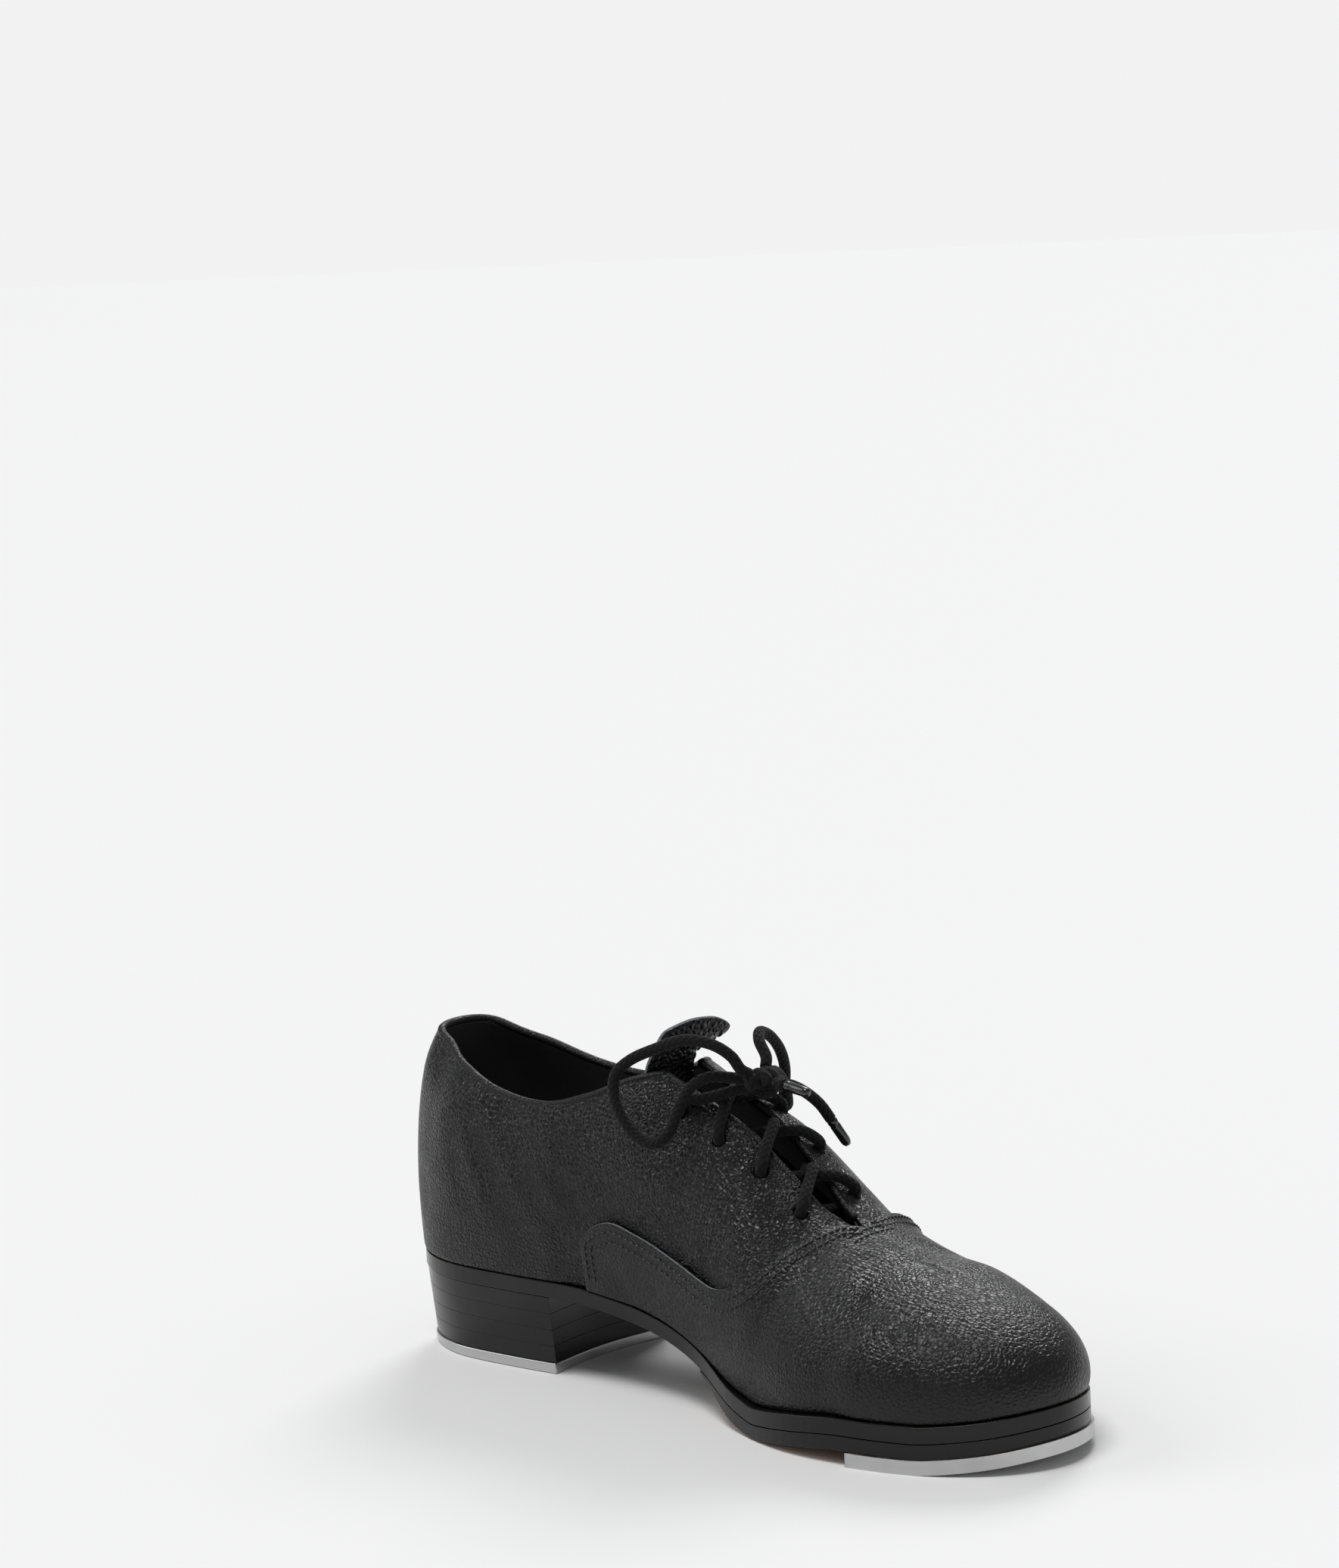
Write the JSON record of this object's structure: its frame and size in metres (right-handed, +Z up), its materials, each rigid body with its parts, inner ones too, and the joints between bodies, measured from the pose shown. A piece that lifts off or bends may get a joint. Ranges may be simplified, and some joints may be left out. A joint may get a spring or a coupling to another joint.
{
  "type": "tap shoe, left foot",
  "caption": "Black leather lace-up tap shoe with stacked heel, leather sole and aluminium toe and heel taps.",
  "frame": {"origin": "on the floor under the middle of the shoe, measured without the lace", "axes": "+X towards the toe, +Y towards the outer side of the left foot, +Z up"},
  "size_m": [0.2676, 0.092, 0.1182],
  "materials": {
    "upper_leather": "satin pebbled black leather",
    "lining": "matte black cotton and leather lining",
    "sole_leather": "brown sole leather with blackened, polished edge",
    "heel_stack": "stacked lifts, painted gloss black",
    "tap_metal": "satin, brighter at the edges",
    "steel": "plated screws, nails and spring steel shank",
    "board": "matte fibre board",
    "filler": "matte cork sheet",
    "lace_cord": "matte round braid",
    "lace_tip": "glossy black"
  },
  "bodies": {
    "shoe": {"heel_lift_1": "heel_stack", "heel_lift_2": "heel_stack", "heel_lift_3": "heel_stack", "heel_lift_4": "heel_stack", "heel_tap": "tap_metal", "heel_tap_screw_1": "steel", "heel_tap_screw_2": "steel", "heel_tap_screw_3": "steel", "heel_nail_1": "steel", "heel_nail_2": "steel", "heel_nail_3": "steel", "outsole": "sole_leather", "half_sole": "sole_leather", "toe_tap": "tap_metal", "toe_tap_screw_1": "steel", "toe_tap_screw_2": "steel", "toe_tap_screw_3": "steel", "shank_board": "board", "steel_shank": "steel", "bottom_filler": "filler", "insole_board": "board", "sock_lining": "lining", "medial_quarter": "upper_leather", "lateral_quarter": "upper_leather", "vamp": "upper_leather", "quarter_lining": "lining", "vamp_lining": "lining", "heel_counter": "board", "toe_puff": "board", "tongue_root": "upper_leather", "lace_through_eyelets": "lace_cord", "lace_knot": "lace_cord", "lace_loop_near": "lace_cord", "lace_loop_far": "lace_cord", "lace_end_near": "lace_cord", "lace_end_far": "lace_cord", "aglet_near": "lace_tip", "aglet_far": "lace_tip"},
    "tongue_flap": {"tongue": "upper_leather"}
  },
  "joints": [
    {"name": "tongue_hinge", "type": "hinge", "parent": "shoe", "child": "tongue_flap", "pos_m": [0.04186, 0, 0.0515], "axis": [0, -1, 0], "range_deg": [0, 20]}
  ]
}
